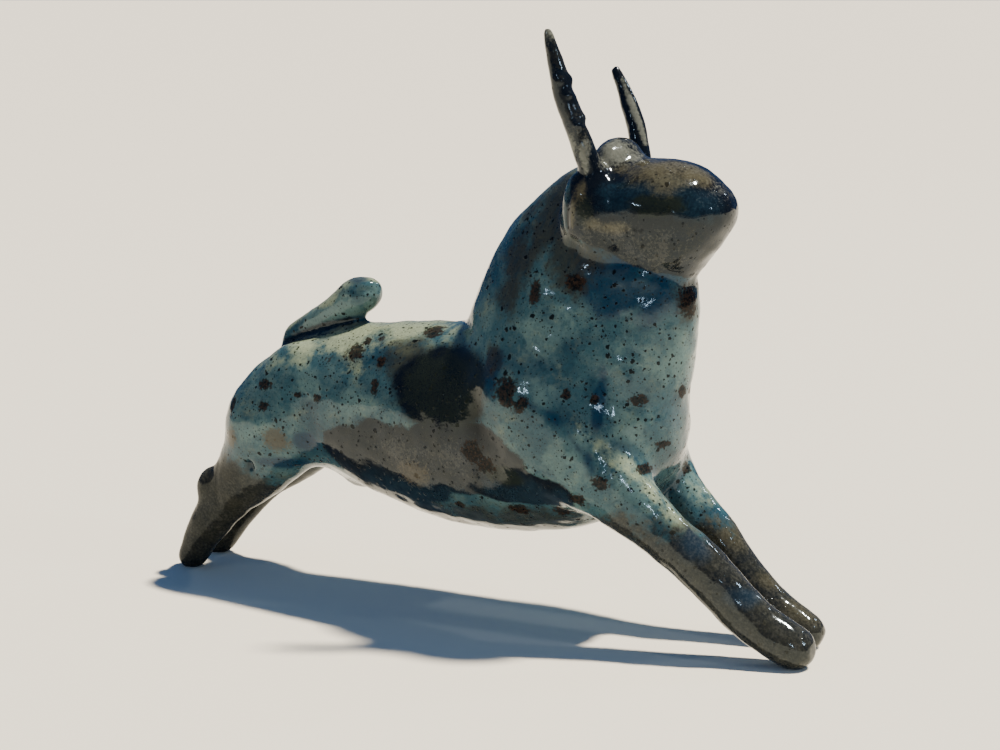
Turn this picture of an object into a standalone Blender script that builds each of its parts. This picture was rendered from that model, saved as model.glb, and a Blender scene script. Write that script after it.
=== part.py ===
"""Ceramic bull figurine, hand-built and glazed.

The bull stands at full stretch: both forelegs reach forward to one pair of feet set side by side,
both hind legs reach back, the head is held high, and a short tail curls forward over the rump. It is
fired as one piece, so it is one solid. Near is its right side (-Y), far its left side (+Y), and it
faces +X.

Every limb is a loft of elliptical rings along a smooth spine, and the head is built from balls. The
forms are fused, their joins softened, and the feet cut flat where they stand.
"""

import math

import bmesh
import bpy
from mathutils import Matrix, Vector

# Driving dimensions, in metres.
LENGTH = 0.175          # from the tips of the fore feet to the tips of the hind feet
FUSE_GRAIN = 0.0009     # grain at which the separate forms are fused into one
BODY_SOFTNESS = 0.0066  # how far the joins of limbs and body are smoothed into each other
SKIN_SOFTNESS = 0.0030  # how far everything else is smoothed
HORN_SOCKET = 0.004     # how deep each horn is rooted in the head
FACETS = 8800           # triangles of the fused figure before its horns are set

# The pose is written in parts of the length. One part is one millimetre on the real figure.
PART = LENGTH / 175
CENTRING = 0.8 * PART   # moves the figure so that its box stands centred over the origin

# A row is one ring of a limb: x, y and z of its centre, its half width and its half height.
TRUNK = (
    (-56.5, 0, 43.0, 8.0, 9.0),
    (-49.5, 0, 44.0, 12.5, 13.5),
    (-36.5, 0, 44.8, 15.5, 18.0),
    (-20.5, 0, 44.0, 17.0, 21.2),
    (-4.5, 0, 43.0, 18.5, 23.5),
    (11.5, 0, 43.7, 19.5, 24.3),
    (25.5, 0, 46.0, 19.5, 23.5),
    (36.5, 0, 49.0, 16.7, 19.5),
)
NECK = (
    (23.5, 0, 50.0, 19.5, 26.5),
    (27.0, 0, 63.0, 18.0, 27.6),
    (30.7, 0, 74.0, 15.5, 26.4),
    (34.5, 0, 83.2, 13.2, 23.6),
    (37.6, 0, 90.0, 11.2, 19.0),
    (41.0, 0, 95.0, 9.5, 14.5),
)
NEAR_FORELEG = (
    (9.0, -7.5, 60.0, 6.0, 9.0),
    (20.0, -13.2, 54.0, 9.0, 13.6),
    (29.0, -14.4, 45.4, 8.6, 13.0),
    (39.5, -13.5, 37.4, 7.0, 9.5),
    (51.5, -11.0, 29.0, 5.6, 6.6),
    (63.5, -8.5, 18.7, 5.2, 5.8),
    (72.6, -6.4, 10.0, 4.9, 5.3),
    (82.2, -4.2, 3.8, 4.9, 5.0),
)
FAR_FORELEG = (
    (9.0, 7.5, 60.0, 6.0, 9.0),
    (19.5, 13.2, 54.0, 8.9, 13.4),
    (28.0, 14.4, 45.4, 8.4, 12.6),
    (38.0, 13.0, 36.8, 7.0, 9.3),
    (47.1, 10.3, 29.5, 5.9, 6.8),
    (52.9, 9.6, 25.2, 5.4, 6.0),
    (60.0, 10.0, 17.7, 4.7, 4.8),
    (66.9, 10.3, 10.4, 4.6, 4.6),
    (72.4, 10.5, 6.4, 4.6, 4.5),
    (77.9, 10.5, 3.5, 4.6, 4.7),
)
NEAR_HIND_LEG = (
    (-35.0, -5.5, 47.5, 8.0, 12.0),
    (-44.5, -7.8, 45.5, 8.2, 13.5),
    (-52.1, -9.0, 37.5, 8.6, 13.6),
    (-58.4, -9.0, 28.5, 6.6, 9.6),
    (-66.2, -8.5, 20.5, 4.9, 6.9),
    (-73.2, -8.0, 12.2, 4.5, 5.3),
    (-80.1, -7.3, 2.5, 3.9, 3.8),
)
FAR_HIND_LEG = (
    (-35.0, 5.5, 47.5, 8.0, 12.0),
    (-45.4, 7.8, 45.5, 8.0, 13.1),
    (-53.3, 9.0, 37.5, 8.1, 12.4),
    (-60.7, 9.0, 28.5, 6.0, 8.5),
    (-69.2, 8.5, 20.5, 4.3, 5.8),
    (-76.6, 8.0, 12.0, 3.8, 4.3),
    (-83.0, 7.8, 2.9, 3.4, 3.4),
)
TAIL = (
    (-52.8, 0, 55.0, 2.8, 2.8),
    (-52.5, 0, 58.8, 3.1, 3.1),
    (-46.7, 0, 62.5, 3.5, 3.1),
    (-39.5, 0, 66.0, 4.4, 3.8),
    (-34.0, 0, 69.4, 4.9, 4.6),
    (-31.2, 0, 70.4, 4.4, 4.3),
)
NEAR_HORN = (
    (35.8, -10.0, 102.0, 2.7, 2.6),
    (33.3, -11.8, 110.0, 2.4, 2.4),
    (30.4, -13.2, 119.0, 2.3, 2.3),
    (28.1, -13.8, 127.5, 1.8, 1.8),
    (27.1, -14.0, 131.1, 1.2, 1.2),
)
FAR_HORN = (
    (36.5, 10.0, 101.0, 2.5, 2.5),
    (34.1, 12.0, 109.0, 2.2, 2.2),
    (30.4, 13.6, 117.0, 1.7, 1.7),
    (27.2, 14.3, 122.6, 1.0, 1.0),
)

# A ball is the x, y and z of its centre, its three half sizes, and its pitch with the nose up.
SKULL = (46.2, 0, 94.2, 18.1, 14.0, 9.8, 0)
FOREHEAD = (48.3, 0, 98.0, 13.6, 12.0, 7.0, -4)
JAW = (47.2, 0, 87.3, 16.2, 11.5, 10.0, 28)
POLL = (36.5, 0, 102.5, 5.5, 8.0, 7.0, 0)
CHEEK = (35.0, 10.5, 93.0, 6.5, 4.5, 10.5, 0)
HOCK = (-71.3, 9.0, 20.6, 4.8, 4.0, 5.9, 0)
FAR_HEEL = (-85.3, 7.7, 1.8, 3.5, 3.9, 2.9, 0)
SHEATH = (-34.0, 0, 26.6, 6.5, 2.8, 2.6, -17)

# The joins of limbs and body are smoothed the most in two blocks, each between two corners.
HIPS = ((-56, -30, 27), (-6, 30, 57))
SHOULDERS = ((-6, -30, 27), (62, 30, 86))

RING_POINTS = 24
STEPS_PER_ROW = 4
HORN_POINTS = 14
DOME_STEPS = 4


def curve_point(rows, index, share):
    """All five numbers of a row at a share of the way from one row to the next.

    Catmull-Rom: the curve passes through every row, and leaves it along the line that joins its
    neighbours. Beyond the ends the row is carried on in a straight line.
    """
    last = len(rows) - 1
    here = Vector(rows[index])
    after = Vector(rows[min(index + 1, last)])
    before = Vector(rows[index - 1]) if index > 0 else 2 * here - after
    beyond = Vector(rows[index + 2]) if index + 2 <= last else 2 * after - here
    a = 2 * here
    b = after - before
    c = 2 * before - 5 * here + 4 * after - beyond
    d = 3 * here - before - 3 * after + beyond
    return 0.5 * (a + b * share + c * share ** 2 + d * share ** 3)


def spine(rows):
    """The rows with smooth steps between them, in metres."""
    samples = []
    for index in range(len(rows) - 1):
        for step in range(STEPS_PER_ROW):
            samples.append(curve_point(rows, index, step / STEPS_PER_ROW))
    samples.append(Vector(rows[-1]))
    return [PART * sample for sample in samples]


def add_ring(bm, centre, across, upright, half_width, half_height, points):
    """An ellipse of vertices around the centre, in the plane of the two directions."""
    ring = []
    for index in range(points):
        turn = 2 * math.pi * index / points
        offset = across * half_width * math.cos(turn) + upright * half_height * math.sin(turn)
        ring.append(bm.verts.new(centre + offset))
    return ring


def add_limb(bm, rows, points=RING_POINTS):
    """A closed loft of elliptical rings along the spine, rounded off by a dome at each end."""
    samples = spine(rows)
    centres = [Vector(sample[:3]) for sample in samples]
    rings = []
    for index, sample in enumerate(samples):
        before = centres[max(index - 1, 0)]
        after = centres[min(index + 1, len(centres) - 1)]
        along = (after - before).normalized()
        side = Vector((0, 1, 0))
        across = (side - side.dot(along) * along).normalized()
        upright = along.cross(across)
        half_width = sample[3]
        half_height = sample[4]
        shape = (centres[index], along, across, upright, half_width, half_height)
        if index == 0:
            rings += add_dome(bm, shape, -1, points)[::-1]
        rings.append(add_ring(bm, centres[index], across, upright, half_width, half_height, points))
        if index == len(samples) - 1:
            rings += add_dome(bm, shape, 1, points)
    for first, second in zip(rings, rings[1:]):
        for index in range(points):
            following = (index + 1) % points
            bm.faces.new((first[index], first[following], second[following], second[index]))
    bm.faces.new(rings[0][::-1])
    bm.faces.new(rings[-1])


def add_dome(bm, shape, direction, points):
    """Rings that close in on the spine's end along a quarter circle."""
    centre, along, across, upright, half_width, half_height = shape
    depth = direction * min(half_width, half_height)
    rings = []
    for step in range(1, DOME_STEPS):
        turn = 0.5 * math.pi * step / DOME_STEPS
        shrink = math.cos(turn)
        place = centre + along * depth * math.sin(turn)
        rings.append(add_ring(bm, place, across, upright, half_width * shrink,
                              half_height * shrink, points))
    return rings


def add_ball(bm, ball, side=1):
    """A sphere stretched to the ball's half sizes, pitched and set at its centre."""
    x, y, z, half_length, half_width, half_height, pitch = ball
    place = Matrix.Translation(PART * Vector((x, side * y, z)))
    turn = Matrix.Rotation(math.radians(-pitch), 4, "Y")
    stretch = Matrix.Diagonal((PART * half_length, PART * half_width, PART * half_height, 1))
    bmesh.ops.create_uvsphere(bm, u_segments=RING_POINTS, v_segments=RING_POINTS // 2, radius=1,
                              matrix=place @ turn @ stretch)


def new_object(name, bm):
    """An object made of the shapes in the mesh, which is used up."""
    bmesh.ops.recalc_face_normals(bm, faces=bm.faces)
    mesh = bpy.data.meshes.new(name)
    bm.to_mesh(mesh)
    bm.free()
    thing = bpy.data.objects.new(name, mesh)
    bpy.context.scene.collection.objects.link(thing)
    return thing


def fused(bm):
    """One closed skin around all the overlapping shapes in the mesh, which is used up."""
    rough = new_object("rough", bm)
    fuse = rough.modifiers.new("Fuse", "REMESH")
    fuse.mode = "VOXEL"
    fuse.voxel_size = FUSE_GRAIN
    skin = bmesh.new()
    skin.from_object(rough, bpy.context.evaluated_depsgraph_get())
    bpy.data.objects.remove(rough)
    return skin


def soften(bm, reach, block=None):
    """Draws each vertex, or those in the block, to the middle of its neighbours, again and again.

    The softening spreads like heat, with the square root of the number of passes.
    """
    verts = bm.verts[:]
    if block:
        low, high = (PART * Vector(corner) for corner in block)
        verts = [vert for vert in verts
                 if all(low[axis] < vert.co[axis] < high[axis] for axis in range(3))]
    for _ in range(round((reach / FUSE_GRAIN) ** 2)):
        bmesh.ops.smooth_vert(bm, verts=verts, factor=0.5, use_axis_x=True, use_axis_y=True,
                              use_axis_z=True)


def cutter(name, bm):
    """A shape that only serves a Boolean of the figure."""
    thing = new_object(name, bm)
    thing.hide_render = True
    thing.display_type = "WIRE"
    return thing


def glazed_ceramic():
    """Glossy blue-green reactive glaze over stoneware."""
    material = bpy.data.materials.new("reactive_glaze")
    material.use_nodes = True
    shader = material.node_tree.nodes["Principled BSDF"]
    shader.inputs["Base Color"].default_value = (0.12, 0.24, 0.27, 1)
    shader.inputs["Roughness"].default_value = 0.15
    shader.inputs["Metallic"].default_value = 0
    return material


def horn(name, rows):
    """A horn that starts below the skin of the head, so that it grows out of the clay."""
    root = Vector(rows[0][:3])
    lean = (Vector(rows[1][:3]) - root).normalized()
    start = root - lean * (HORN_SOCKET / PART)
    bm = bmesh.new()
    add_limb(bm, ((*start, *rows[0][3:]),) + rows, HORN_POINTS)
    return cutter(name, bm)


def ground():
    """A block whose top is the plane that the bull stands on."""
    bm = bmesh.new()
    size = (2 * LENGTH, LENGTH, 0.25 * LENGTH)
    place = Matrix.Translation((0, 0, -0.5 * size[2]))
    bmesh.ops.create_cube(bm, size=1, matrix=place @ Matrix.Diagonal((*size, 1)))
    return cutter("ground", bm)


def bull():
    """The whole figurine: fused limbs and head, with its horns set in and its feet cut flat."""
    bm = bmesh.new()
    for rows in (TRUNK, NECK, TAIL, NEAR_FORELEG, FAR_FORELEG, NEAR_HIND_LEG, FAR_HIND_LEG):
        add_limb(bm, rows)
    for ball in (SKULL, FOREHEAD, JAW, POLL, SHEATH, FAR_HEEL):
        add_ball(bm, ball)
    for side in (-1, 1):
        add_ball(bm, CHEEK, side)
        add_ball(bm, HOCK, side)
    skin = fused(bm)
    soften(skin, BODY_SOFTNESS, HIPS)
    soften(skin, BODY_SOFTNESS, SHOULDERS)
    soften(skin, SKIN_SOFTNESS)
    figure = new_object("bull", skin)
    figure.data.shade_smooth()
    figure.data.materials.append(glazed_ceramic())
    facet = figure.modifiers.new("Facet", "DECIMATE")
    facet.ratio = FACETS / triangle_count(figure)
    for name, rows in (("near_horn", NEAR_HORN), ("far_horn", FAR_HORN)):
        setting = figure.modifiers.new(name, "BOOLEAN")
        setting.operation = "UNION"
        setting.object = horn(name, rows)
    stand = figure.modifiers.new("Stand", "BOOLEAN")
    stand.operation = "DIFFERENCE"
    stand.object = ground()
    return figure


def triangle_count(thing):
    """Triangles of the object as its modifiers so far leave it."""
    evaluated = thing.evaluated_get(bpy.context.evaluated_depsgraph_get())
    mesh = evaluated.to_mesh()
    mesh.calc_loop_triangles()
    count = len(mesh.loop_triangles)
    evaluated.to_mesh_clear()
    return count


for old in list(bpy.data.objects):
    bpy.data.objects.remove(old)
bull()
for thing in bpy.data.objects:
    thing.location.x = CENTRING
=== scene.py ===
"""The looks of a glazed ceramic bull figurine, on the solid that carries its true form."""

import math

import bmesh
import bpy
import numpy as np
from mathutils import Euler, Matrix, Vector


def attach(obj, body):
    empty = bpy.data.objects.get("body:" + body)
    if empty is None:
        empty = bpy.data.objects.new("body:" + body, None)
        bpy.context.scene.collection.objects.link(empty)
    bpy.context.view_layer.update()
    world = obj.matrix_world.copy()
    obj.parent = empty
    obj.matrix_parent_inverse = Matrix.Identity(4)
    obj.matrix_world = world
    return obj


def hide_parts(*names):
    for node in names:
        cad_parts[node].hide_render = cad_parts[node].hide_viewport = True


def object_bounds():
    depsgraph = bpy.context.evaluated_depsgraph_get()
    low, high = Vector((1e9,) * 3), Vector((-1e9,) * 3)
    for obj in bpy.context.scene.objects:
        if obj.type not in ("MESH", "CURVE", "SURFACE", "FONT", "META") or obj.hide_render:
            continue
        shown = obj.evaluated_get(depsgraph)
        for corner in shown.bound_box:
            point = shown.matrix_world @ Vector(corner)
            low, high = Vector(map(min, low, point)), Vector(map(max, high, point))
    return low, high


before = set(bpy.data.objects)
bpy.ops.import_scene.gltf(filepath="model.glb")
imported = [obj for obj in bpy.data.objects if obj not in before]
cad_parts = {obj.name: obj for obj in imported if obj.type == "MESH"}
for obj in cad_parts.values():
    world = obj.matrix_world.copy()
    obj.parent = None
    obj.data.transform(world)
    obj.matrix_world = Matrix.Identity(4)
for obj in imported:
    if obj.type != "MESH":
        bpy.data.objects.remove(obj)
cad_box = [list(corner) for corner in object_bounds()]


# The view. The figurine is seen from its right side and a little from the front, from just above its
# horns, through a long lens. The camera stands where the feet and horns fall as in the photograph.
MM = 0.001
EYE = Vector((277.5, -417.4, 138.0)) * MM
TURN = math.radians(32.97)
TILT_DOWN = math.radians(9.52)
SENSOR_WIDTH = 36.0
FOCAL_LENGTH = 80.5
NEAREST_SEEN = 0.01
FARTHEST_SEEN = 4000.0

camera = bpy.data.objects.new("camera", bpy.data.cameras.new("camera"))
camera.data.sensor_width = SENSOR_WIDTH
camera.data.lens = FOCAL_LENGTH
camera.data.clip_start = NEAREST_SEEN
camera.data.clip_end = FARTHEST_SEEN
camera.location = EYE
camera.rotation_euler = Euler((math.pi / 2 - TILT_DOWN, 0, TURN))
bpy.context.scene.collection.objects.link(camera)
bpy.context.scene.camera = camera


# The clay body. One piece of fine stoneware, modelled by hand: limbs and head are rolled and pinched
# forms, pressed onto a hollow trunk and smoothed over, and the horns are pulled coils. The surface
# keeps slow finger dents, a groove behind each cheek, and soft folds where forms meet.
GRAIN = 0.62 * MM
MERGE_REACH = 0.001 * MM
FACET_SMOOTHING = 26
RIM_CLEARANCE = 0.15 * MM


def fine_skin(solid, grain):
    """A new mesh over the solid: the surface where the distance to the solid's merged copy is 0, cut into
    squares as wide as the grain."""
    closed = bmesh.new()
    closed.from_mesh(solid.data)
    bmesh.ops.remove_doubles(closed, verts=closed.verts, dist=MERGE_REACH)
    coarse = bpy.data.meshes.new("coarse")
    closed.to_mesh(coarse)
    closed.free()
    carrier = bpy.data.objects.new("carrier", coarse)
    bpy.context.scene.collection.objects.link(carrier)
    evener = carrier.modifiers.new("even", "REMESH")
    evener.mode = "VOXEL"
    evener.voxel_size = grain
    graph = bpy.context.evaluated_depsgraph_get()
    skin = bpy.data.meshes.new_from_object(carrier.evaluated_get(graph))
    bpy.data.objects.remove(carrier)
    bpy.data.meshes.remove(coarse)
    return skin


def read_points(mesh):
    """The mesh's points as one array, a row of x, y and z for each."""
    points = np.empty(3 * len(mesh.vertices))
    mesh.vertices.foreach_get("co", points)
    return points.reshape(-1, 3)


def read_normals(mesh):
    """The mesh's outward directions at its points, one row each."""
    normals = np.empty(3 * len(mesh.vertices))
    mesh.vertices.foreach_get("normal", normals)
    return normals.reshape(-1, 3)


def write_points(mesh, points):
    """Puts the array of points back into the mesh."""
    mesh.vertices.foreach_set("co", points.ravel())
    mesh.update()


def neighbour_mean(values, edges, count):
    """For each point, the mean of a value over the points that share an edge with it."""
    ends = edges.ravel()
    others = edges[:, ::-1].ravel()
    number = np.bincount(ends, minlength=count)
    columns = [np.bincount(ends, column[others], count) / number for column in values.T]
    return np.stack(columns, axis=1)


def smoothed(points, edges, passes, inward=0.5, outward_share=0.53):
    """Facets are smoothed and the form keeps its size: each pass moves every point by one share of the
    way to its neighbours' mean, and then by a slightly larger share of the way back out."""
    for _ in range(passes):
        points = points + inward * (neighbour_mean(points, edges, len(points)) - points)
        points = points - outward_share * (neighbour_mean(points, edges, len(points)) - points)
    return points


def waves(points, size, seed, count=28):
    """A slow random swell between about -1 and 1: the sum of cosine waves that run in random
    directions, with lengths from 0.7 to 1.4 of the size, over the root of their count."""
    dice = np.random.default_rng(seed)
    directions = dice.normal(size=(3, count))
    directions /= np.linalg.norm(directions, axis=0)
    lengths = size * dice.uniform(0.7, 1.4, count)
    phases = dice.uniform(0, 2 * math.pi, count)
    return np.cos(points @ (2 * math.pi * directions / lengths) + phases).sum(axis=1) / math.sqrt(count)


def along(points, path):
    """The distance of each point from a path of straight runs, as the least over the runs."""
    path = np.array(path, float) * MM
    best = np.full(len(points), np.inf)
    for start, end in zip(path, path[1:]):
        run = end - start
        share = np.clip((points - start) @ run / (run @ run), 0, 1)
        best = np.minimum(best, np.linalg.norm(points - start - share[:, None] * run, axis=1))
    return best


def stroke(points, path, width, height):
    """A ridge, or a groove where the height is negative, with a bell-shaped section: the height times
    exp(-(distance / width) squared)."""
    return height * MM * np.exp(-(along(points, path) / (width * MM)) ** 2)


def far_side_of(path):
    """The same path on the far side: each y changes its sign."""
    return tuple((x, -y, z) for x, y, z in path)


# Places are x, y and z in millimetres. The near side of the figurine is its right side, at negative y.
CHEEK_FOLD = ((35.5, -12.5, 101.5), (33.2, -13.8, 96), (33.0, -14.2, 91))
JAW_LINE = ((34.0, -14.0, 87), (36.5, -13.6, 84.4), (41, -12.6, 83.0), (48.6, -10.9, 83.4),
            (54, -7.2, 80.8), (56.4, -1.3, 78.4))
POLL_RIDGE = ((37.5, -5.5, 108), (39.5, -8.5, 103.5), (40.5, -11.5, 98.5))
SHOULDER_RIDGE = ((43, -18, 45), (51, -14, 37.5), (60, -11.5, 27))
THIGH_FOLD = ((-64, -11.5, 29.5), (-65.5, -12.5, 25), (-66, -12.5, 19))
TUFT_FOLD = ((-33, -5, 70), (-31, -5.5, 74))
CURL = ((-27.4, -2.4, 71.8), (-29.4, -4.4, 71.6), (-29.2, -4.6, 69.2))
PINHOLE = ((-53.6, -16.0, 29.8), (-53.3, -16.0, 28.8))
PINHOLE_WIDTH = 0.9
PINHOLE_DEPTH = 1.1

# A dent is the width and the height of a swell and its seed. A fold is its path, width and height.
DENTS = ((17, 0.16, 3), (6.5, 0.07, 4), (2.6, 0.02, 5))
FOLDS = (
    (CHEEK_FOLD, 0.7, -0.35), (far_side_of(CHEEK_FOLD), 0.7, -0.35),
    (JAW_LINE, 2.0, -0.8), (far_side_of(JAW_LINE), 2.0, -0.8),
    (POLL_RIDGE, 1.6, 0.6), (SHOULDER_RIDGE, 2.2, 0.5), (THIGH_FOLD, 1.0, -0.35),
    (TUFT_FOLD, 0.8, -0.35), (CURL, 0.9, -0.6),
)
NICK_LENGTH = 0.3
HORN_NICKS = (((32.0, -15.4, 121.5), 0.9, 0.5), ((33.5, -14.5, 118.5), 0.8, 0.55),
              ((35.2, -14.0, 112), 0.7, 0.45), ((34.8, -13.6, 113.6), 0.6, -0.5),
              ((32.4, -12.3, 121.6), 1.0, 0.5), ((32.9, -12.2, 119.4), 0.8, -0.4),
              ((35.2, -10.9, 113.6), 0.7, 0.35), ((35.6, -10.8, 112.0), 0.8, -0.4))

clay = fine_skin(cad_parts["bull"], GRAIN)
clay.name = "bull_glazed"
edge_ends = np.empty(2 * len(clay.edges), int)
clay.edges.foreach_get("vertices", edge_ends)
edge_ends = edge_ends.reshape(-1, 2)
skin_points = smoothed(read_points(clay), edge_ends, FACET_SMOOTHING)
write_points(clay, skin_points)
outward = read_normals(clay)

relief = np.zeros(len(skin_points))
for width, height, seed in DENTS:
    relief += height * MM * waves(skin_points, width * MM, seed)
for fold, width, height in FOLDS:
    relief += stroke(skin_points, fold, width, height)
for nick, width, height in HORN_NICKS:
    relief += stroke(skin_points, (nick, nick[:2] + (nick[2] + NICK_LENGTH,)), width, height)
relief += stroke(skin_points, PINHOLE, PINHOLE_WIDTH, -PINHOLE_DEPTH)
skin_points = skin_points + relief[:, None] * outward

low, high = np.array(cad_box)
skin_points = np.clip(skin_points, low, high - RIM_CLEARANCE)
write_points(clay, skin_points)
clay.polygons.foreach_set("use_smooth", np.ones(len(clay.polygons), bool))
outward = read_normals(clay)

bull = bpy.data.objects.new("bull_glazed", clay)
bpy.context.scene.collection.objects.link(bull)
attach(bull, "root")
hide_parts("bull")


# The glaze. A reactive stoneware glaze is poured over the whole figure and fires into seafoam green
# with blue pools and dark iron flecks. It runs thin and creamy on the edges that face up. The flank
# patch, the head, the horns and the lower legs are dipped in a dark glaze that fires to a bronze mirror.
PATCH_SWELL = 7 * MM
DIP_SWELL = 8 * MM


def patch(points, centre, radii, wander, seed):
    """1 at the patch's centre, 0 on its edge, less outside: 1 less the distance in radii, its edge
    shifted by a slow swell."""
    offset = (points - np.array(centre) * MM) / (np.array(radii) * MM)
    return 1 - np.linalg.norm(offset, axis=1) + wander * waves(points, PATCH_SWELL, seed)


def union(fields):
    """The greatest of several fields at each point."""
    return np.max(np.stack(fields), axis=0)


def store(name, values):
    """Keeps one number for each point of the skin under a name that the shader reads."""
    attribute = clay.attributes.new(name, "FLOAT", "POINT")
    attribute.data.foreach_set("value", np.clip(values, -1, 1).astype(np.float32))


def below(points, level, slope, wander, seed):
    """How far each point lies below a slanting line in the side view, in centimetres, with a wavy edge.
    The line is at the level where x is 0 and falls by the slope along x."""
    height = level * MM - slope * points[:, 0] - points[:, 2]
    return height / (10 * MM) + wander * waves(points, DIP_SWELL, seed)


def spread(places, wander, seed):
    """The union of several patches. Each place is a centre and its reaches in millimetres."""
    return union([patch(skin_points, *place, wander, seed + k) for k, place in enumerate(places)])


ahead, across, up = skin_points.T

# The dark glaze is crisp on the head, the horns and the belly, soft at the smoky oval of the flank, and
# creeps up the legs from the dipped feet.
BELLY = (
    ((-13, -15, 34.5), (20, 13, 10.2)), ((9, -19, 38.8), (17.5, 13, 9.2)), ((-16, -5, 23), (17, 14, 7)),
    ((22, -18, 34.0), (16, 14, 4.6)),
)
FAR_BELLY = (((-12, 15, 35), (19, 12, 8)), ((10, 18, 37), (15, 12, 7)), ((-14, 6, 24), (16, 12, 6)))
SMOKY = (((2.8, -17, 53.6), (14.4, 14, 9.8)), ((-10, 17, 50), (13, 12, 9)))
HEAD_BACK = 33 * MM
HEAD_FLOOR = 103 * MM
HEAD_FALL = 0.42
HEAD_EDGE = 6 * MM
HORN_FEET = 104.5 * MM
HORN_EDGE = 4 * MM
HORN_GAP = 8 * MM
head = np.minimum((ahead - HEAD_BACK) / HEAD_EDGE, (up - HEAD_FLOOR + HEAD_FALL * ahead) / HEAD_EDGE)
head = head + 0.06 * waves(skin_points, 9 * MM, 18)
horns = (up - HORN_FEET) / HORN_EDGE - np.where(np.abs(across) > HORN_GAP, 0, 2)
store("mirror", union((spread(BELLY, 0.05, 11), spread(FAR_BELLY, 0.12, 24), head, horns)))
store("smoky", spread(SMOKY, 0.04, 21))

# Each dip is its level where x is 0, its fall along x, the sway of its edge and a seed.
LEGS_APART = 40 * MM
HIND_DIP = (11.0, 0.333, 0.10, 19)
NEAR_FORE_DIP = (38.5, 0.16, 0.10, 20)
FAR_FORE_DIP = (36.5, 0.16, 0.12, 21)
hind = np.where(ahead < -LEGS_APART, below(skin_points, *HIND_DIP), -1)
near_fore = np.where((ahead > LEGS_APART) & (across < 0), below(skin_points, *NEAR_FORE_DIP), -1)
far_fore = np.where((ahead > LEGS_APART) & (across >= 0), below(skin_points, *FAR_FORE_DIP), -1)
store("dipped", union((hind, near_fore, far_fore)))

# The thigh, a place beside the flank's oval and one under the jaw are fired half dull.
DULL_THIGH_START = -52 * MM
DULL_THIGH_EDGE = 8 * MM
DULL_PLACES = (((15, -18, 49), (7, 7, 9)), ((49.5, -10, 78.5), (4.5, 5, 4)))
dull_thigh = np.minimum((DULL_THIGH_START - ahead) / DULL_THIGH_EDGE, 2 * hind)
store("dull", union((dull_thigh, 1.5 * spread(DULL_PLACES, 0.05, 90))))

# Where the glaze pools to a deep blue, and where it is nearly black: the nape, the neck behind the
# cheeks and the hollow beside the flank's oval. Painted shade darkens the underside of the belly, and lies
# as black lines in the crevice under the tail, the folds behind the cheeks, the tail's curl and the
# pinhole.
POOLS = (
    ((17.6, -19, 59), (3.2, 6, 6.5)), ((-38.5, -15, 36.6), (4.2, 6, 3)), ((-44, -14, 31), (8.5, 6, 1.8)),
    ((44, -12.5, 78.5), (10, 8, 8)), ((37, -14, 84), (5, 5, 5)), ((51, -8, 76), (6, 6, 7)),
    ((-32, -2, 74.4), (4, 4, 1.8)), ((42, -15, 54), (1.5, 5, 8)),
    ((30, 20, 55), (9, 8, 5)), ((-45, 15, 38), (8, 7, 5)), ((10, 19, 60), (6, 6, 5)),
    ((45, 12, 78), (10, 8, 7)), ((-20, 16, 56), (6, 6, 3)),
)
DEEP_AND_SHADED = (
    ((27, -8, 92), (9, 12, 14)), ((20, -9, 82), (6, 8, 8)), ((33, -14, 84), (8, 7, 9)),
    ((-11, -15, 60), (9, 8, 7)), ((16.5, -18, 61), (3, 6, 6)), ((34.7, -14, 79), (5, 5, 4)),
    ((56, -2, 75), (4, 5, 6)), ((27, 9, 92), (9, 10, 14)), ((18, -11, 74), (5, 6, 9)),
    # The last two places are painted shade on the underside of the belly.
    ((16, -10, 25), (34, 7, 6)), ((-8, -8, 23), (20, 6, 4)),
)
SHOULDER_STREAK = ((27, -22, 54.5), (34.5, -21.5, 50.5), (41, -20, 43.5), (43, -18, 39))
TAIL_CREVICE = ((-52, -3.2, 57.5), (-44.8, -3.1, 60.6), (-38.7, -3.3, 62.6), (-33.7, -2.2, 64.0))
# Painted shade: black lines in the crevice under the tail, the folds behind the cheeks, the tail's curl and
# the pinhole.
PAINTED_SHADE_LINES = (
    (TAIL_CREVICE, 1.2, 1.1), (CHEEK_FOLD, 1.0, 0.8), (far_side_of(CHEEK_FOLD), 1.0, 0.8),
    (CURL, 0.5, 0.8), (PINHOLE, 1.1, 1.3),
)
shade_lines = sum(stroke(skin_points, *shade_line) for shade_line in PAINTED_SHADE_LINES)
PALE_PLACES = (
    ((-42, -4, 64), (9, 6, 5)), ((53, 8, 33), (5, 5, 5)), ((50, -15, 37), (7, 6, 6)),
    ((56, -3, 62), (6, 8, 8)), ((-36, -14, 52), (7, 6, 5)), ((-52, -16, 38), (8, 6, 4)),
    ((-22, -16, 47), (9, 6, 4)), ((36, -20, 43), (9, 6, 5)), ((29, -16, 68), (6, 6, 7)),
    ((47, -13, 48), (6, 6, 6)), ((-35, -4, 68.5), (9, 5, 4.5)), ((-28, -3, 70), (3.4, 4, 4)),
    ((28, -20, 56), (6, 6, 4)),
)
store("pale", spread(PALE_PLACES, 0.25, 280))
SHOULDER_STREAK_WIDTH = 3.2 * MM
streak = 0.38 - along(skin_points, SHOULDER_STREAK) / SHOULDER_STREAK_WIDTH
streak = streak + 0.2 * waves(skin_points, 6 * MM, 49)
store("pooled", union((spread(POOLS, 0.16, 30), streak)))
store("deep_and_shade", spread(DEEP_AND_SHADED, 0.16, 50))
store("shade_line", shade_lines / MM)
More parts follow.
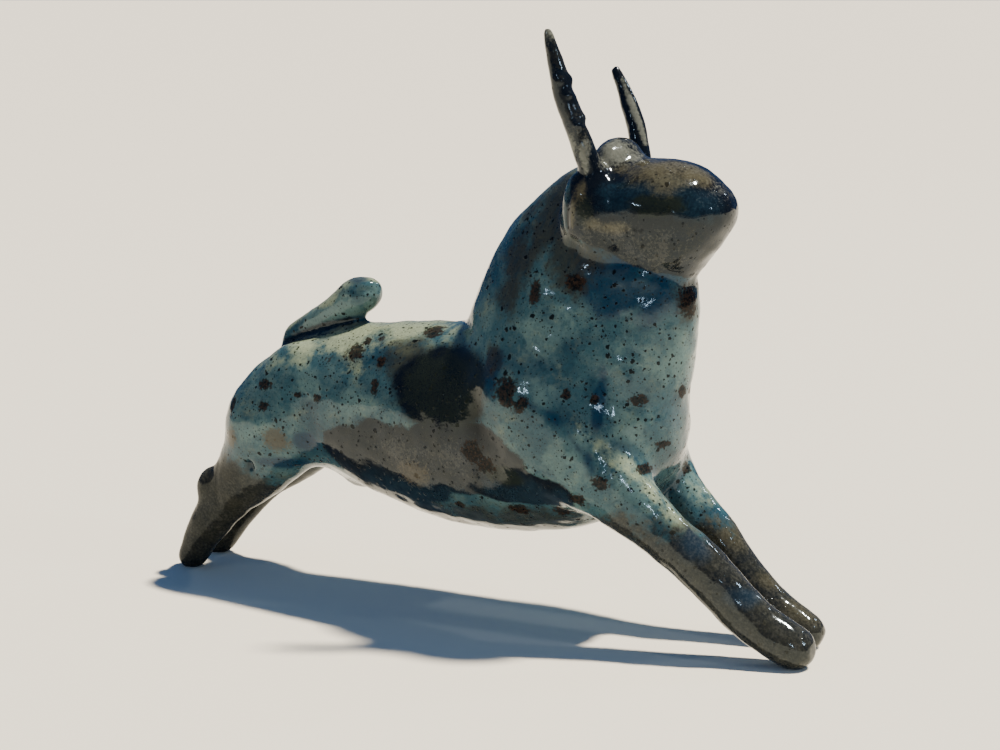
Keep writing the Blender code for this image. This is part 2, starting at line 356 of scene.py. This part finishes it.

# In the dark glaze, where it breaks to ash grey, navy, olive, gold and a pale bone grey. The ash grey and
# the pale dust are partly painted reflection of the lit table on the belly band and under the jaw. The bone
# grey is partly painted highlight on the poll, and its streak down the far horn is a painted highlight.
# Painted reflection, in part: the first two ash places grey the belly band and the jaw where they mirror
# the lit table.
ASH_AND_REFLECTION_PLACES = (
    ((2, -18, 36.5), (36, 12, 10)), ((52, -8, 84), (22, 16, 11)), ((34, -14, 92), (5, 6, 9)),
    ((34, -13, 107), (5, 5, 12)), ((30.5, -15, 125), (3, 4, 8)), ((-62, -12, 27), (10, 10, 9)),
    ((34, 13, 106), (5, 5, 9)),
)
NAVY_PLACES = (
    ((44.5, -13, 97), (7, 6, 4)), ((61, -8, 96), (6, 7, 3.6)), ((54, -10, 99.4), (8, 5, 3)),
    ((63, -12, 25), (5, 3.8, 3.6)), ((74, -9.6, 15), (5, 3.4, 3)),
    ((-4, -14, 28), (26, 8, 5)), ((24, -16, 32), (14, 8, 5)), ((52, 12, 98), (12, 6, 6)),
)
OLIVE_PLACES = (
    ((3.5, -17, 54), (15, 10, 10)), ((52.5, -12, 96.2), (7.4, 5, 3.0)), ((37, -14.5, 94.5), (2.6, 4, 4)),
    ((20, -18, 37), (6, 4, 3)),
)
GOLD_PLACES = (
    ((51, -5, 102), (12, 8, 4.6)), ((60, 8, 25), (6, 6, 5)), ((78, 9, 8), (6, 6, 4)),
    ((72, 8, 14), (5, 5, 3)), ((36, -14.5, 99), (1.6, 3, 3.6)), ((38.6, -13.4, 91.5), (2.4, 3, 1.6)),
    ((42.5, -13, 91), (4.4, 3, 1.6)), ((34.3, -14.6, 95), (0.8, 3, 4)), ((57, -3, 102), (5, 5, 2.4)),
)
# Painted highlight, in part: the bone grey on the upward faces of the poll, the horn bases and the muzzle.
BONE_AND_HIGHLIGHT_PLACES = (
    ((40, -4, 106), (6, 7, 5)), ((63, 0, 101), (2.4, 6, 2.2)), ((33.4, -13, 108), (2, 4, 3)),
    ((28.8, -14.7, 132), (3, 4, 3)), ((36.4, -13.2, 106), (1.2, 3, 4.5)),
)
FAR_HORN_HIGHLIGHT = ((30.6, 12.6, 121.5), (33.6, 11.8, 115.4), (36.6, 11.0, 110.4), (37.9, 10.7, 107.5))
# Painted reflection, in part: the pale dust on the belly band and the jaw.
DUST_AND_REFLECTION_PLACES = (
    ((6, -19, 38), (9, 6, 6)), ((-8, -17, 38), (10, 6, 5)), ((42, -13, 90), (9, 5, 4)),
    ((50, -10, 86), (12, 8, 6)), ((52, -3, 104), (13, 8, 4)), ((62, -1, 99), (5, 8, 5)),
    ((-66, -12, 24), (7, 6, 10)), ((34, -14, 109), (4, 4, 6)),
)
store("ash_and_reflection", spread(ASH_AND_REFLECTION_PLACES, 0.15, 140))
store("navy", spread(NAVY_PLACES, 0.2, 160))
store("olive", spread(OLIVE_PLACES, 0.1, 180))
store("gold", spread(GOLD_PLACES, 0.2, 200))
# A painted highlight down the far horn's right edge.
HORN_HIGHLIGHT_WIDTH = 0.9 * MM
painted_horn_highlight = 1.3 - along(skin_points, FAR_HORN_HIGHLIGHT) / HORN_HIGHLIGHT_WIDTH
store("bone_and_highlight", union((spread(BONE_AND_HIGHLIGHT_PLACES, 0.15, 220), painted_horn_highlight)))
store("dust_and_reflection", spread(DUST_AND_REFLECTION_PLACES, 0.15, 240))

# The largest iron spots, and others like them scattered over the far side.
SPOTS = (
    ((22.3, -22, 55.6), (3.4, 4, 3.2)), ((26.4, -22.5, 53.0), (1.9, 3, 1.9)),
    ((-25.2, -11, 58.6), (2.8, 4, 2.2)), ((-23.4, -10, 61.0), (1.1, 3, 1.0)),
    ((-16.7, -13, 57.1), (1.4, 3, 1.3)), ((-6.8, -7, 64.0), (3.2, 3, 1.9)),
    ((-49.0, -15, 49.3), (1.9, 3, 1.3)), ((-16.7, -16, 51.7), (1.2, 3, 2.2)),
    ((-59.0, -14, 43.6), (1.1, 3, 2.2)), ((-48.8, -16, 44.7), (1.6, 3, 1.2)),
    ((-39.5, -15, 47.8), (1.0, 3, 0.9)), ((-33.6, -15, 47.6), (1.2, 3, 1.0)),
    ((48.9, -11, 54.6), (1.6, 3, 1.3)), ((53.7, -1, 55.3), (2, 1.4, 1.4)),
    ((35.7, -19, 55.6), (1.2, 3, 1.2)), ((41.0, -16, 54.6), (1.1, 3, 1.1)),
    ((50.3, -11, 39.7), (1.1, 3, 1.4)), ((52.0, -6, 44.6), (2, 2.2, 0.9)),
    ((44.2, -19, 37.6), (1.8, 3, 1.5)), ((20.9, -14, 27.9), (2.2, 4, 1.3)),
    ((31.0, -12, 28.9), (2.4, 4, 1.6)), ((5.2, -14, 27.1), (1.3, 4, 0.9)),
    ((34.7, -14, 79.1), (2.4, 3, 2.2)), ((25.5, -15, 76.0), (1.4, 3, 2.6)),
    ((56.3, -2, 75.5), (2.4, 3.4, 4.2)), ((39, -18, 33.5), (2.4, 3, 1.6)),
    ((12.3, -19, 40.8), (3.2, 4, 3.0)), ((15.6, -18, 38.0), (3, 4, 2)),
)
FAR_SPOTS = 34
FAR_SIDE_START = 4 * MM
FAR_SPOTS_FLOOR = 28 * MM
FAR_SPOTS_TOP = 95 * MM
SPOT_REACHES = (1, 2.6)
dice = np.random.default_rng(8)
far_side = np.flatnonzero((across > FAR_SIDE_START) & (up > FAR_SPOTS_FLOOR) & (up < FAR_SPOTS_TOP))
far_spots = [(skin_points[k] / MM, dice.uniform(*SPOT_REACHES, 3))
             for k in dice.choice(far_side, FAR_SPOTS)]
store("iron", spread(list(SPOTS) + far_spots, 0.1, 60))
TAN_SPOTS = (((-45.0, -16, 36.8), (3.4, 4, 3.0)), ((-58.9, -15.5, 36), (2.8, 4, 2.6)),
             ((-6, -17, 33.0), (5, 4, 3.4)))
store("tan", spread(TAN_SPOTS, 0.06, 110))

# Thin glaze on ridges and thick in hollows: how far a point stands out of its wide surroundings. It is
# thinnest where the back and the tail face up, and along the ridge of the near foreleg.
SURROUNDINGS = 40
RIDGE_HEIGHT = 0.35 * MM
BACK_FRONT = -4 * MM
BACK_FADE = 12 * MM
BACK_FLOOR = 52 * MM
BACK_EDGE = 8 * MM
LEG_RIDGE_WIDTH = 2.2 * MM
wide = skin_points
for _ in range(SURROUNDINGS):
    wide = wide + 0.8 * (neighbour_mean(wide, edge_ends, len(wide)) - wide)
store("ridge", ((skin_points - wide) * outward).sum(axis=1) / RIDGE_HEIGHT)
facing_up = outward[:, 2] + 0.25 * waves(skin_points, 11 * MM, 120)
back_and_tail = np.clip((BACK_FRONT - ahead) / BACK_FADE, 0, 1)
back_and_tail = back_and_tail * np.clip((up - BACK_FLOOR) / BACK_EDGE, 0, 1)
leg_ridge = np.exp(-(along(skin_points, SHOULDER_RIDGE) / LEG_RIDGE_WIDTH) ** 2)
store("thin", np.clip(1.6 * (facing_up - 0.35), 0, 1) * (0.3 + 0.7 * back_and_tail) + 0.30 * leg_ridge)


class Wire:
    """An output of a node. Sums, differences and products of it add Math nodes."""

    def __init__(self, finish, socket):
        self.finish = finish
        self.socket = socket

    def math(self, operation, *values):
        """A Math node of that operation on the values."""
        inputs = dict(enumerate(values))
        return self.finish.add("ShaderNodeMath", {"operation": operation}, inputs)["Value"]

    def __add__(self, other):
        return self.math("ADD", self, other)

    __radd__ = __add__

    def __sub__(self, other):
        return self.math("SUBTRACT", self, other)

    def __rsub__(self, other):
        return self.math("SUBTRACT", other, self)

    def __mul__(self, other):
        return self.math("MULTIPLY", self, other)

    __rmul__ = __mul__

    def step(self, start, end):
        """0 before the start, 1 after the end, and a smooth rise between them."""
        return self.finish.add("ShaderNodeMapRange", {"interpolation_type": "SMOOTHSTEP"},
                               {"Value": self, "From Min": start, "From Max": end})["Result"]

    def max(self, other):
        """The greater of the two."""
        return self.math("MAXIMUM", self, other)


class Finish:
    """The nodes of one surface finish."""

    def __init__(self, name):
        self.material = bpy.data.materials.new(name)
        self.material.use_nodes = True
        self.tree = self.material.node_tree
        self.shader = self.tree.nodes["Principled BSDF"]

    def feed(self, socket, value):
        """Sets a socket, or links it where the value is a wire."""
        if isinstance(value, Wire):
            self.tree.links.new(value.socket, socket)
        else:
            socket.default_value = value

    def add(self, kind, settings, sockets):
        """A node of that type. Its settings come first, then the values and links of its sockets. The
        result gives its outputs by name."""
        node = self.tree.nodes.new(kind)
        for key, value in settings.items():
            setattr(node, key, value)
        for key, value in sockets.items():
            self.feed(node.inputs[key], value)
        return {socket.name: Wire(self, socket) for socket in node.outputs if socket.enabled}

    def blend(self, share, first, second):
        """The first colour where the share is 0, the second where it is 1."""
        share_in, first_in, second_in = 0, 6, 7
        return self.add("ShaderNodeMix", {"data_type": "RGBA"},
                        {share_in: share, first_in: first, second_in: second})["Result"]

    def tint(self, colour, factor):
        """The colour made darker or lighter by a factor."""
        return self.add("ShaderNodeVectorMath", {"operation": "SCALE"},
                        {"Vector": colour, "Scale": factor})["Vector"]

    def field(self, name):
        """A number that the mesh keeps for each of its points."""
        return self.add("ShaderNodeAttribute", {"attribute_name": name}, {})["Fac"]

    def clouds(self, size, detail=3, roughness=0.55, distortion=0.0, stretch=1.0, lean=0.0):
        """A random swell from 0 to 1 whose features are about as wide as the size, in metres. They are
        longer along the upright by the stretch, and lean forward at the top by an angle."""
        place = self.add("ShaderNodeTexCoord", {}, {})["Object"]
        flow = self.add("ShaderNodeMapping", {"vector_type": "TEXTURE"},
                        {"Vector": place, "Rotation": (0, lean, 0), "Scale": (1, 1, stretch)})["Vector"]
        return self.add("ShaderNodeTexNoise", {}, {"Vector": flow, "Scale": 1 / size, "Detail": detail,
                                                   "Roughness": roughness, "Distortion": distortion})["Fac"]

    def dots(self, spacing, smallest, largest, share, crowd):
        """Scattered ragged dots: 1 inside each, with radii between the smallest and the largest in
        shares of their spacing. About that share of the places has a dot, more where the crowd is."""
        place = self.add("ShaderNodeTexCoord", {}, {})["Object"]
        swirl = self.add("ShaderNodeTexNoise", {}, {"Vector": place, "Scale": 2.5 / spacing})["Color"]
        bent = self.add("ShaderNodeVectorMath", {"operation": "MULTIPLY_ADD"},
                        {0: swirl, 1: (0.5 * spacing,) * 3, 2: place})["Vector"]
        cells = self.add("ShaderNodeTexVoronoi", {}, {"Vector": bent, "Scale": 1 / spacing})
        chance = self.add("ShaderNodeSeparateColor", {}, {"Color": cells["Color"]})
        radius = smallest + (largest - smallest) * chance["Red"]
        inside = (radius - cells["Distance"]).step(-0.02, 0.04)
        return inside * (chance["Green"] + crowd).step(1 - share, 1.02 - share)


SEAFOAM = (0.036, 0.084, 0.096, 1)
PALE_SEAFOAM = (0.120, 0.195, 0.178, 1)
TEAL = (0.006, 0.030, 0.048, 1)
CREAM = (0.300, 0.340, 0.205, 1)
COBALT = (0.0015, 0.016, 0.042, 1)
NEAR_BLACK = (0.025, 0.024, 0.015, 1)
# The black of the iron flecks, also used for the painted shade in the creases.
IRON_AND_SHADE_BLACK = (0.002, 0.002, 0.002, 1)
IRON_BROWN = (0.024, 0.013, 0.007, 1)
TAN = (0.070, 0.056, 0.032, 1)
DARK_GLAZE = (0.004, 0.005, 0.006, 1)
# Ash greys: partly painted reflection of the lit table on the belly band, the jaw and the horns.
COOL_ASH_AND_REFLECTION = (0.004, 0.007, 0.011, 1)
WARM_ASH_AND_REFLECTION = (0.012, 0.012, 0.009, 1)
NAVY = (0.006, 0.014, 0.021, 1)
OLIVE_GOLD = (0.090, 0.079, 0.042, 1)
OLIVE_BLACK = (0.011, 0.014, 0.008, 1)
LEG_DARK = (0.010, 0.012, 0.012, 1)
# Slate blue, partly a painted sheen on the near foreleg.
SLATE_AND_PAINTED_SHEEN = (0.013, 0.025, 0.038, 1)
BRONZE = (0.028, 0.028, 0.020, 1)
TEAL_DUST = (0.008, 0.021, 0.031, 1)
# Bone grey, also the colour of the painted highlights.
BONE_AND_HIGHLIGHT = (0.135, 0.138, 0.108, 1)
# Pale dust grey: partly painted reflection of the lit table.
DUST_AND_REFLECTION_GREY = (0.110, 0.108, 0.090, 1)
COOL_SHEEN = (0.78, 0.91, 1.0, 1)

STRAND_LEAN = math.radians(20)
GLAZE_IOR = 1.40
BARE_IOR = 1.0
BARE_ROUGHNESS = 0.8
PEEL_SIZE = 2.4 * MM
PEEL_DEPTH = 0.12 * MM
PEEL_STRENGTH = 0.45

# Clouds of four sizes carry all the shifts of colour.
glaze = Finish("reactive_glaze")
fine = glaze.clouds(0.6 * MM, detail=3, roughness=0.65)
grain = glaze.clouds(1.8 * MM, detail=4, roughness=0.65)
mottle = glaze.clouds(5 * MM, detail=5, distortion=0.6)
drift = glaze.clouds(15 * MM, detail=5, distortion=0.8)

green = glaze.blend((0.5 * mottle + 0.5 * grain).step(0.42, 0.62), SEAFOAM, PALE_SEAFOAM)
green = glaze.blend((0.6 * drift + 0.4 * mottle).step(0.42, 0.62) * 0.85, green, TEAL)
green = glaze.blend(0.7 * (0.4 * fine + 0.6 * grain).step(0.48, 0.62), green, TEAL)
pale = (glaze.field("pale") + 0.9 * (mottle - 0.5) + 1.1 * (grain - 0.5)).step(-0.05, 0.65)
green = glaze.blend(0.55 * pale, green, PALE_SEAFOAM)
thin = (glaze.field("thin") + 0.9 * (mottle - 0.5) + 0.9 * (grain - 0.5)).step(0.05, 0.75)
green = glaze.blend(0.9 * thin, green, CREAM)
pooled = (glaze.field("pooled") + 0.6 * (mottle - 0.5) + 0.9 * (grain - 0.5)).step(-0.15, 0.50)
green = glaze.blend(0.8 * pooled, green, COBALT)
hollow = (0 - glaze.field("ridge") + 0.3 * (grain - 0.5)).step(0.15, 0.95)
green = glaze.blend(0.6 * hollow, green, COBALT)
# Nearly black glaze, and painted shade on the belly's underside.
deep_and_shade = (glaze.field("deep_and_shade") + 0.8 * (mottle - 0.5) + 1.1 * (grain - 0.5)).step(-0.10, 0.55)
green = glaze.blend(0.85 * deep_and_shade, green, NEAR_BLACK)
strands = glaze.clouds(1.1 * MM, detail=3, stretch=7, lean=STRAND_LEAN).step(0.50, 0.64)
green = glaze.blend(0.4 * strands * deep_and_shade, green, TEAL_DUST)

# Iron flecks of three sizes, thicker in some drifts than in others.
crowd = glaze.clouds(16 * MM, detail=2) - 0.5
specks = glaze.dots(0.7 * MM, 0.14, 0.30, 0.60, crowd)
flecks = glaze.dots(1.2 * MM, 0.10, 0.30, 0.65, crowd).max(glaze.dots(2.2 * MM, 0.10, 0.28, 0.40, crowd))
blots = (glaze.clouds(5.5 * MM, detail=4, roughness=0.65) + 0.2 * crowd).step(0.67, 0.72)
green = glaze.blend(0.7 * blots, green, IRON_BROWN)
green = glaze.blend(0.75 * specks, green, IRON_AND_SHADE_BLACK)
green = glaze.blend(0.92 * flecks, green, IRON_AND_SHADE_BLACK)
iron_edge = glaze.field("iron") + 1.2 * (fine - 0.5) + 1.5 * (glaze.clouds(1.1 * MM) - 0.5)
iron = iron_edge.step(-0.10, 0.25)
rust = glaze.blend(fine.step(0.42, 0.60), IRON_AND_SHADE_BLACK, IRON_BROWN)
green = glaze.blend(0.9 * iron, green, rust)
tan = (glaze.field("tan") + 1.4 * (fine - 0.5) + 0.9 * (grain - 0.5)).step(-0.2, 0.45)
green = glaze.blend(0.85 * tan, green, TAN)

# The dark glaze: near black where it lies thick, with ash, navy, olive, gold and bone breaking through.
# Its ash and dust greys are partly painted reflection of the table, and its bone grey is partly painted
# highlight.
mealy = (0.5 * fine + 0.5 * grain).step(0.40, 0.60)
ash_and_reflection_colour = glaze.blend((0.5 * mottle + 0.5 * fine).step(0.42, 0.58), COOL_ASH_AND_REFLECTION, WARM_ASH_AND_REFLECTION)
# Ash grey, partly painted reflection of the lit table.
ash_and_reflection = (glaze.field("ash_and_reflection") + 0.6 * (mottle - 0.5) + 0.6 * (grain - 0.5)).step(0.0, 0.4)
dark = glaze.blend(ash_and_reflection * (0.55 + 0.45 * mealy), DARK_GLAZE, ash_and_reflection_colour)
navy = (glaze.field("navy") + 0.8 * (mottle - 0.5) + 0.8 * (grain - 0.5)).step(-0.25, 0.6)
navy_colour = glaze.blend(mealy, NAVY, TEAL_DUST)
dark = glaze.blend(0.85 * navy, dark, navy_colour)
olive = (glaze.field("olive") + 1.0 * (mottle - 0.5) + 0.8 * (grain - 0.5)).step(-0.1, 0.40)
dark = glaze.blend(olive, dark, OLIVE_BLACK)
gold = (glaze.field("gold") + 0.9 * (fine - 0.5) + 0.9 * (grain - 0.5)).step(-0.20, 0.70)
dark = glaze.blend(0.75 * gold, dark, OLIVE_GOLD)
dark = glaze.blend(0.8 * flecks * gold, dark, IRON_AND_SHADE_BLACK)
# Bone grey: partly painted highlight, and a painted highlight down the far horn.
bone_and_highlight = (glaze.field("bone_and_highlight") + 1.2 * (fine - 0.5) + 0.9 * (grain - 0.5)).step(0.0, 0.7)
dark = glaze.blend(0.9 * bone_and_highlight, dark, BONE_AND_HIGHLIGHT)
# Pale dust, partly painted reflection of the lit table.
dust_and_reflection = (0.35 * glaze.field("dust_and_reflection") + 1.5 * (fine - 0.5) + 0.9 * (grain - 0.5)).step(0.16, 0.36)
dark = glaze.blend(0.22 * dust_and_reflection, dark, DUST_AND_REFLECTION_GREY)
dark = glaze.blend(0.8 * iron, dark, rust)
dark = glaze.blend(0.7 * tan, dark, TAN)
mirror = (glaze.field("mirror") + 0.14 * (fine - 0.5) + 0.16 * (grain - 0.5)).step(-0.04, 0.06)
smoky = (glaze.field("smoky") + 0.20 * (fine - 0.5) + 0.25 * (grain - 0.5)).step(-0.14, 0.14)
colour = glaze.blend(mirror.max(smoky), green, dark)

# The dark bronze of the dipped legs, with a slate blue on the near foreleg that is partly a painted sheen.
leg = glaze.blend((0.7 * mottle + 0.3 * fine).step(0.30, 0.62), LEG_DARK, BRONZE)
# Partly painted sheen: slate blue on the near foreleg.
leg = glaze.blend(0.9 * navy, leg, SLATE_AND_PAINTED_SHEEN)
leg = glaze.blend(0.4 * gold, leg, OLIVE_GOLD)
leg = glaze.blend(0.2 * (0.5 * fine + 0.5 * grain).step(0.44, 0.66), leg, DUST_AND_REFLECTION_GREY)
dipped = (glaze.field("dipped") + 0.9 * (mottle - 0.5) + 0.8 * (grain - 0.5)).step(-0.15, 0.30)
colour = glaze.blend(dipped, colour, leg)
# Painted shade: the crease lines are blended nearly to black.
colour = glaze.blend(glaze.field("shade_line").step(0.1, 0.8) * 0.85, colour, IRON_AND_SHADE_BLACK)
colour = glaze.tint(colour, 0.45 + 1.10 * fine)

# The gloss, and where it gives way to bare, dull iron.
crust = (0.65 * iron).max(0.6 * flecks).max(0.4 * blots).max(0.6 * glaze.field("dull"))

glaze.feed(glaze.shader.inputs["Base Color"], colour)
glaze.feed(glaze.shader.inputs["Roughness"], 0.06 + 0.06 * fine)
glaze.shader.inputs["IOR"].default_value = GLAZE_IOR
glaze.shader.inputs["Specular Tint"].default_value = COOL_SHEEN
peel = glaze.clouds(PEEL_SIZE, detail=2)
bump = glaze.add("ShaderNodeBump", {}, {"Strength": PEEL_STRENGTH, "Distance": PEEL_DEPTH,
                                        "Height": peel + 0.25 * fine + 0.6 * flecks})
glaze.feed(glaze.shader.inputs["Normal"], bump["Normal"])
bare = glaze.add("ShaderNodeBsdfPrincipled", {}, {"Base Color": colour, "Roughness": BARE_ROUGHNESS,
                                                  "IOR": BARE_IOR, "Normal": bump["Normal"]})
gloss = Wire(glaze, glaze.shader.outputs["BSDF"])
surface = glaze.add("ShaderNodeMixShader", {}, {0: crust, 1: gloss, 2: bare["BSDF"]})
glaze.feed(glaze.tree.nodes["Material Output"].inputs["Surface"], surface["Shader"])
clay.materials.clear()
clay.materials.append(glaze.material)


# The table and the light. A plain pale surface, which falls to a dim grey far toward the camera, stands
# in a dim blue room. A warm lamp as small as the sun shines from above the bull's left shoulder, and four
# small cool panels give the glaze its sparks.
TABLE_REACH = 1500.0
TABLE_EDGE = 430 * MM
SHADE_WIDTH = 340 * MM
TABLE_COLOUR = (0.94, 0.86, 0.69, 1)
SHADED_COLOUR = (0.24, 0.235, 0.23, 1)
TABLE_ROUGHNESS = 0.8
ROOM_COLOUR = (0.030, 0.090, 0.245, 1)

table_mesh = bpy.data.meshes.new("table")
corners = TABLE_REACH * np.array(((-1, -1, 0), (1, -1, 0), (1, 1, 0), (-1, 1, 0)))
table_mesh.from_pydata(corners.tolist(), [], [(0, 1, 2, 3)])
table = bpy.data.objects.new("table", table_mesh)
bpy.context.scene.collection.objects.link(table)

paper = Finish("pale_paper")
place = paper.add("ShaderNodeTexCoord", {}, {})["Object"]
toward_eye = (math.sin(TURN), -math.cos(TURN), 0)
nearness = paper.add("ShaderNodeVectorMath", {"operation": "DOT_PRODUCT"},
                     {0: place, 1: toward_eye})["Value"]
shaded = nearness.step(TABLE_EDGE, TABLE_EDGE + SHADE_WIDTH)
paper.feed(paper.shader.inputs["Base Color"], paper.blend(shaded, TABLE_COLOUR, SHADED_COLOUR))
paper.shader.inputs["Roughness"].default_value = TABLE_ROUGHNESS
table_mesh.materials.append(paper.material)

world = bpy.data.worlds.new("room")
world.use_nodes = True
world.node_tree.nodes["Background"].inputs["Color"].default_value = ROOM_COLOUR
world.node_tree.nodes["Background"].inputs["Strength"].default_value = 1.0
bpy.context.scene.world = world

FIGURE_MIDDLE = 60 * MM


def lamp(kind, name, direction, distance, power, colour):
    """A lamp at a distance along the direction from the figure's middle, facing it."""
    light = bpy.data.lights.new(name, kind)
    light.energy = power
    light.color = colour
    thing = bpy.data.objects.new(name, light)
    aim = Vector(direction).normalized()
    thing.location = Vector((0, 0, FIGURE_MIDDLE)) + distance * aim
    thing.rotation_euler = aim.to_track_quat("Z", "Y").to_euler()
    bpy.context.scene.collection.objects.link(thing)
    return light


KEY_DIRECTION = (0.324, 0.272, 0.906)
KEY_DISTANCE = 2.0
KEY_POWER = 7.9
KEY_ANGLE = math.radians(4)
SUNLIGHT = (1.0, 0.93, 0.82)
SPARK_DISTANCE = 1.5
DAYLIGHT = (0.72, 0.86, 1.0)

# Each spark panel is its name, its direction, its width and height, and its power.
SPARKS = (
    ("left_spark", (-0.30, -0.85, 0.42), (0.09, 0.022), 1.1),
    ("right_spark", (0.88, 0.02, 0.46), (0.10, 0.035), 2.2),
    ("front_spark", (0.56, -0.80, 0.16), (0.009, 0.18), 1.4),
    ("back_spark", (0.34, 0.76, 0.55), (0.10, 0.03), 1.3),
)
key = lamp("SUN", "key", KEY_DIRECTION, KEY_DISTANCE, KEY_POWER, SUNLIGHT)
key.angle = KEY_ANGLE
for name, direction, panel_size, power in SPARKS:
    panel = lamp("AREA", name, direction, SPARK_DISTANCE, power, DAYLIGHT)
    panel.shape = "RECTANGLE"
    panel.size, panel.size_y = panel_size
